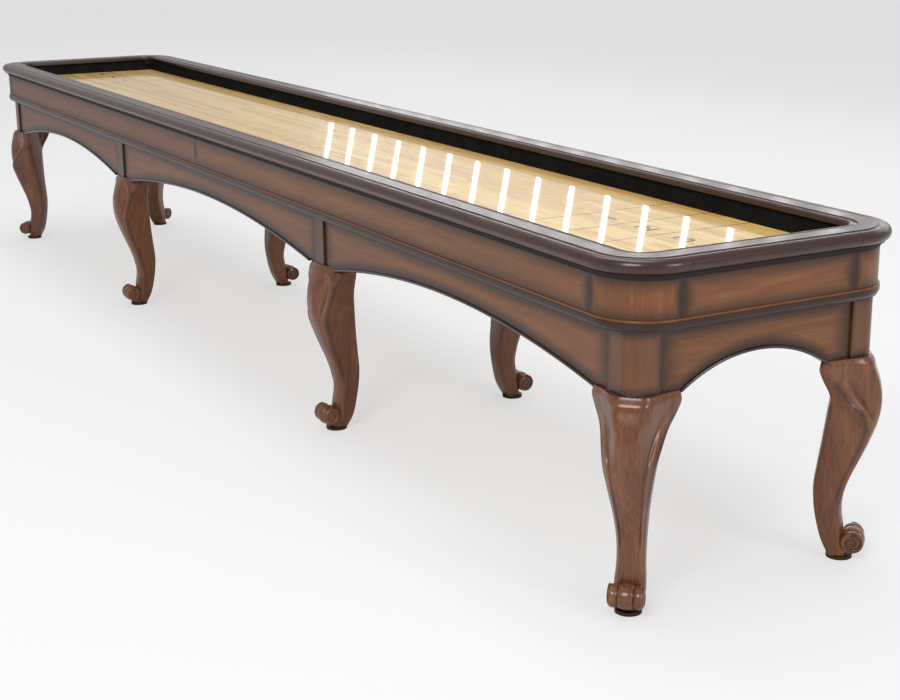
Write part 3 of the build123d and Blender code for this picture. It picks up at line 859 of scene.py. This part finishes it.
# ---- stage --------------------------------------------------------------------------------------
def area_lamp(name, place, target, size, power, color=(1, 1, 1)):
    lamp = bpy.data.lights.new(name, "AREA")
    lamp.shape = "RECTANGLE"
    lamp.size, lamp.size_y = size
    lamp.energy = power
    lamp.color = color
    holder = bpy.data.objects.new(name, lamp)
    holder.matrix_world = (Matrix.Translation(place)
                           @ (Vector(target) - Vector(place)).to_track_quat("-Z", "Y").to_matrix().to_4x4())
    bpy.context.scene.collection.objects.link(holder)


def studio():
    """White floor and world, soft lamps, and the row of narrow lamps that the board reflects."""
    scene = bpy.context.scene
    scene.view_settings.view_transform = "Standard"
    white = Shade("floor_white", Roughness=0.7, Specular_IOR_Level=0.1, Base_Color=(0.8, 0.8, 0.8, 1))
    glow = white.node("ShaderNodeEmission", {}, {"Color": (1, 1, 1, 1), "Strength": 1.0}, "Emission")
    seen = white.node("ShaderNodeLightPath", output="Is Camera Ray")
    blend = white.tree.nodes.new("ShaderNodeMixShader")
    white.tree.links.new((seen * 0.55).socket, blend.inputs[0])
    white.tree.links.new(white.surface.outputs[0], blend.inputs[1])
    white.tree.links.new(glow.socket, blend.inputs[2])
    white.tree.links.new(blend.outputs[0], white.tree.nodes["Material Output"].inputs[0])
    far = 60
    corners = [(-far, -far, 0), (far, -far, 0), (far, far, 0), (-far, far, 0)]
    floor = mesh_object("studio_floor", corners, [(0, 1, 2, 3)], [white.material], False)
    world = bpy.data.worlds.new("studio_world")
    world.use_nodes = True
    nodes, links = world.node_tree.nodes, world.node_tree.links
    path = nodes.new("ShaderNodeLightPath")
    level = nodes.new("ShaderNodeMapRange")
    level.inputs["To Min"].default_value = 0.5
    level.inputs["To Max"].default_value = 1.0
    links.new(path.outputs["Is Camera Ray"], level.inputs["Value"])
    links.new(level.outputs["Result"], nodes["Background"].inputs["Strength"])
    nodes["Background"].inputs["Color"].default_value = (1, 1, 1, 1)
    scene.world = world
    area_lamp("key_light", (5.5, -5.0, 5.0), (0.8, 0, 0.5), (3.0, 2.5), 240)
    area_lamp("top_light", (0.0, 0.0, 6.0), (0.0, 0, 0.5), (6.0, 2.5), 160)
    area_lamp("end_light", (8.0, 2.0, 3.0), (2.0, 0, 0.5), (2.0, 2.0), 90)
    strip_count, first_strip, strip_step, strip_lean = 26, -11.5, 0.55, 3.4
    for number in range(strip_count):
        place = (first_strip + number * strip_step, 5.4, 3.1)
        area_lamp(f"window_strip_{number}", place, (place[0] + strip_lean, 0, 0.6), (0.045, 2.6), 3.2)


def photo_camera(props):
    """A camera from the stage settings: turn, height angle and tilt of the view."""
    lens = bpy.data.cameras.new("view_camera")
    lens.sensor_width = 36.0
    lens.lens = props.lens
    azimuth, elevation, roll = props.azimuth, props.elevation, props.roll
    forward = Vector((-math.sin(azimuth) * math.cos(elevation), math.cos(azimuth) * math.cos(elevation),
                      -math.sin(elevation)))
    right = forward.cross(Vector((0, 0, 1))).normalized()
    up = right.cross(forward)
    right, up = (math.cos(roll) * right + math.sin(roll) * up, -math.sin(roll) * right + math.cos(roll) * up)
    turn = Matrix((right, up, -forward)).transposed().to_4x4()
    camera = bpy.data.objects.new("view_camera", lens)
    camera.matrix_world = Matrix.Translation(props.place) @ turn
    bpy.context.scene.collection.objects.link(camera)
    bpy.context.scene.camera = camera


# ---- add-on classes -------------------------------------------------------------------------------
class LookSettings(bpy.types.PropertyGroup):
    """Sizes and colours of the table that a user would change."""
    case_tone: bpy.props.FloatVectorProperty(name="Case Stain", description="Middle tone of the box wood",
                                             subtype="COLOR", size=3, default=CASE[1])
    leg_tone: bpy.props.FloatVectorProperty(name="Leg Stain", description="Middle tone of the leg wood",
                                            subtype="COLOR", size=3, default=LEG[1])
    rail_tone: bpy.props.FloatVectorProperty(name="Rail Stain", description="Middle tone of the rail wood",
                                             subtype="COLOR", size=3, default=RAIL[1])
    maple_tone: bpy.props.FloatVectorProperty(name="Board Tint", description="Second darkest tone of the board",
                                              subtype="COLOR", size=3, default=(0.74, 0.46, 0.110))
    bead_size: bpy.props.FloatProperty(name="Bead Size", description="Height of the beads under the arches",
                                       unit="LENGTH", default=0.009)
    digit_height: bpy.props.FloatProperty(name="Digit Height", description="Text size of the score numbers",
                                          unit="LENGTH", default=0.085)
    line_width: bpy.props.FloatProperty(name="Line Width", description="Width of the score lines",
                                        unit="LENGTH", default=0.003)


class StageSettings(bpy.types.PropertyGroup):
    """Where the camera stands and what lens it has."""
    azimuth: bpy.props.FloatProperty(name="Azimuth", description="Turn of the view round the table", subtype="ANGLE",
                                     unit="ROTATION", default=math.radians(60.63))
    elevation: bpy.props.FloatProperty(name="Elevation", description="Height angle of the view", subtype="ANGLE",
                                       unit="ROTATION", default=math.radians(15.72))
    roll: bpy.props.FloatProperty(name="Roll", description="Tilt of the view", subtype="ANGLE", unit="ROTATION",
                                  default=math.radians(-0.44))
    lens: bpy.props.FloatProperty(name="Lens", description="Focal length in millimetres", default=64.28)
    place: bpy.props.FloatVectorProperty(name="Place", description="Where the camera stands", subtype="TRANSLATION",
                                         unit="LENGTH", size=3, default=(5.0746, -2.2659, 1.5336))


def operator(identifier, label, text, work):
    """An Operator class that runs one making function."""
    def execute(self, context):
        work()
        return {"FINISHED"}
    return type("TABLE_OT_" + identifier, (bpy.types.Operator,),
                {"bl_idname": "table." + identifier, "bl_label": label, "__doc__": text, "execute": execute})


class TABLE_OT_stage(bpy.types.Operator):
    """Make the floor, the lights and the camera."""
    bl_idname = "table.stage"
    bl_label = "Stage"

    def execute(self, context):
        studio()
        photo_camera(context.scene.table_stage)
        return {"FINISHED"}


PIECE_OPERATORS = (
    operator("node_finishes", "Finishes", "Give every carried-over piece its finish.", node_finishes),
    operator("rails", "Top Rail", "Make the moulded top rail.", rail_pieces),
    operator("box_trim", "Box Trim", "Make the cove and the base moulding.", box_trim),
    operator("cock_beads", "Cock Beads", "Make the beads under the arched aprons.", cock_beads),
    operator("legs", "Legs", "Make the carved cabriole legs.", legs),
    operator("play_marks", "Play Marks", "Make the score lines and numbers.", play_marks),
)


class TABLE_PT_panel(bpy.types.Panel):
    """Lists the makers of the table's pieces."""
    bl_idname = "TABLE_PT_panel"
    bl_label = "Shuffleboard Table"
    bl_space_type = "VIEW_3D"
    bl_region_type = "UI"
    bl_category = "Table"

    def draw(self, context):
        for maker in PIECE_OPERATORS:
            self.layout.operator(maker.bl_idname)
        self.layout.operator(TABLE_OT_stage.bl_idname)
        for name in ("case_tone", "leg_tone", "rail_tone", "maple_tone", "bead_size", "digit_height", "line_width"):
            self.layout.prop(context.scene.table_look, name)
        for name in ("azimuth", "elevation", "roll", "lens", "place"):
            self.layout.prop(context.scene.table_stage, name)


CLASSES = (LookSettings, StageSettings, TABLE_OT_stage, *PIECE_OPERATORS, TABLE_PT_panel)


def register():
    for item in CLASSES:
        bpy.utils.register_class(item)
    bpy.types.Scene.table_look = bpy.props.PointerProperty(type=LookSettings)
    bpy.types.Scene.table_stage = bpy.props.PointerProperty(type=StageSettings)


def unregister():
    del bpy.types.Scene.table_stage
    del bpy.types.Scene.table_look
    for item in reversed(CLASSES):
        bpy.utils.unregister_class(item)


def main():
    register()
    bpy.ops.table.stage()
    bpy.ops.table.node_finishes()
    bpy.ops.table.rails()
    bpy.ops.table.box_trim()
    bpy.ops.table.cock_beads()
    bpy.ops.table.legs()
    bpy.ops.table.play_marks()


if __name__ == "__main__":
    main()
